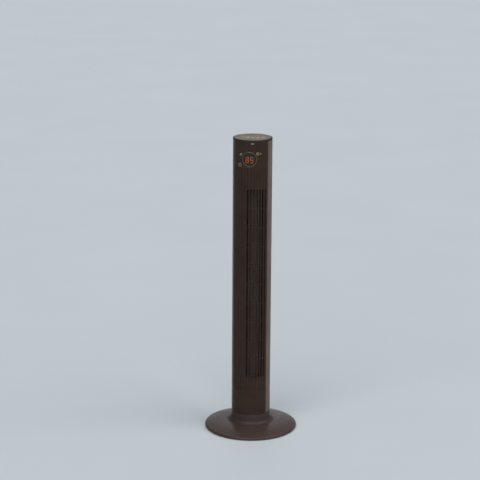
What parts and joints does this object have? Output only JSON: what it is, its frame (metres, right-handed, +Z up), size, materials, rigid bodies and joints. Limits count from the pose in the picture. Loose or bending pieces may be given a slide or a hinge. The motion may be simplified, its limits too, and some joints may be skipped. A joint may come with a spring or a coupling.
{
  "type": "tower fan",
  "caption": "Free-standing tower fan: round column on a disc foot, reeded front with a barred air outlet, lit round display, swivelling on a geared base.",
  "frame": {"origin": "on the floor, on the column's axis, at the middle of the disc foot", "axes": "+Z up along the column, the front with the air outlet and display faces -Y, +X is to the viewer's right"},
  "size_m": [0.31, 0.31, 1],
  "materials": {
    "shell_plastic": "fine moulded texture, dark warm grey",
    "panel_plastic": "fine moulded texture, near black brown",
    "foot_plastic": "satin, dark brown grey",
    "cap_plastic": "satin, warm grey",
    "button_plastic": "satin, light warm grey",
    "black_plastic": "plain moulded black",
    "wheel_plastic": "glass-filled moulding",
    "acetal": "smooth natural white",
    "rubber": "soft black",
    "ballast_steel": "plain plate",
    "screw_steel": "zinc plated",
    "shaft_steel": "ground bar",
    "motor_steel": "stacked sheet",
    "motor_aluminium": "as cast",
    "copper": "enamelled wire",
    "bronze": "sintered bronze",
    "circuit_board": "green solder mask",
    "smoked_lens": "smoked, polished",
    "ring_plastic": "satin bronze grey",
    "digit_light": "lit orange",
    "icon_light": "lit yellow green",
    "badge_metal": "satin"
  },
  "bodies": {
    "base": {"rubber_feet": "rubber", "base_shell": "foot_plastic", "base_cover": "black_plastic", "ballast_plate": "ballast_steel", "cover_screws": "screw_steel", "neck_collar": "foot_plastic", "neck_screws": "screw_steel", "cord_grommet": "rubber", "pivot_post": "shaft_steel", "base_nut": "screw_steel", "swivel_gear": "acetal", "slide_ring": "acetal", "retaining_ring": "screw_steel"},
    "column": {"turntable": "black_plastic", "turntable_screws": "screw_steel", "swing_motor": "motor_aluminium", "rear_shell": "shell_plastic", "front_panel": "panel_plastic", "outlet_grille": "panel_plastic", "rear_grille": "shell_plastic", "grille_screws": "screw_steel", "handle_cup": "shell_plastic", "scroll_casing": "black_plastic", "vortex_tongue": "black_plastic", "lower_duct_plate": "black_plastic", "upper_duct_plate": "black_plastic", "bearing_rubber": "rubber", "bearing_bush": "bronze", "motor_stator": "motor_steel", "motor_windings": "copper", "motor_lower_bell": "motor_aluminium", "motor_upper_bell": "motor_aluminium", "motor_grommets": "rubber", "motor_screws": "screw_steel", "capacitor": "black_plastic", "top_cap": "cap_plastic", "control_board": "circuit_board", "board_screws": "screw_steel", "tact_switches": "black_plastic", "display_lens": "smoked_lens", "display_ring": "ring_plastic", "display_digits": "digit_light", "indicator_icons": "icon_light", "badge": "badge_metal", "display_board": "circuit_board", "ir_receiver": "black_plastic", "power_board": "circuit_board"},
    "pinion": {"drive_pinion": "acetal", "pinion_shaft": "shaft_steel"},
    "wheel": {"crossflow_wheel": "wheel_plastic", "wheel_lower_disc": "wheel_plastic", "wheel_upper_disc": "wheel_plastic", "hub_screw": "screw_steel", "motor_shaft": "shaft_steel", "motor_rotor": "motor_steel"},
    "timer_button": {"timer_button": "button_plastic"},
    "speed_button": {"speed_button": "button_plastic"},
    "power_button": {"power_button": "button_plastic"},
    "swing_button": {"swing_button": "button_plastic"},
    "mode_button": {"mode_button": "button_plastic"}
  },
  "joints": [
    {"name": "swing", "type": "hinge", "parent": "base", "child": "column", "pos_m": [0, 0, 0.06], "axis": [0, 0, 1], "range_deg": [-35, 35]},
    {"name": "pinion_spin", "type": "hinge", "parent": "column", "child": "pinion", "pos_m": [0, -0.0375, 0.046], "axis": [0, 0, 1], "range_deg": [-140.5, 140.5]},
    {"name": "wheel_spin", "type": "hinge", "parent": "column", "child": "wheel", "pos_m": [-0.007, 0.008, 0.5], "axis": [0, 0, 1], "continuous": true},
    {"name": "timer_press", "type": "slide", "parent": "column", "child": "timer_button", "axis": [0, 0, -1], "range_m": [0, 0.0012], "stiffness_N_per_m": 500, "springref_m": -0.002},
    {"name": "speed_press", "type": "slide", "parent": "column", "child": "speed_button", "axis": [0, 0, -1], "range_m": [0, 0.0012], "stiffness_N_per_m": 500, "springref_m": -0.002},
    {"name": "power_press", "type": "slide", "parent": "column", "child": "power_button", "axis": [0, 0, -1], "range_m": [0, 0.0012], "stiffness_N_per_m": 500, "springref_m": -0.002},
    {"name": "swing_press", "type": "slide", "parent": "column", "child": "swing_button", "axis": [0, 0, -1], "range_m": [0, 0.0012], "stiffness_N_per_m": 500, "springref_m": -0.002},
    {"name": "mode_press", "type": "slide", "parent": "column", "child": "mode_button", "axis": [0, 0, -1], "range_m": [0, 0.0012], "stiffness_N_per_m": 500, "springref_m": -0.002}
  ],
  "couplings": [
    {"joint": "pinion_spin", "follows": "swing", "ratio": 4}
  ]
}
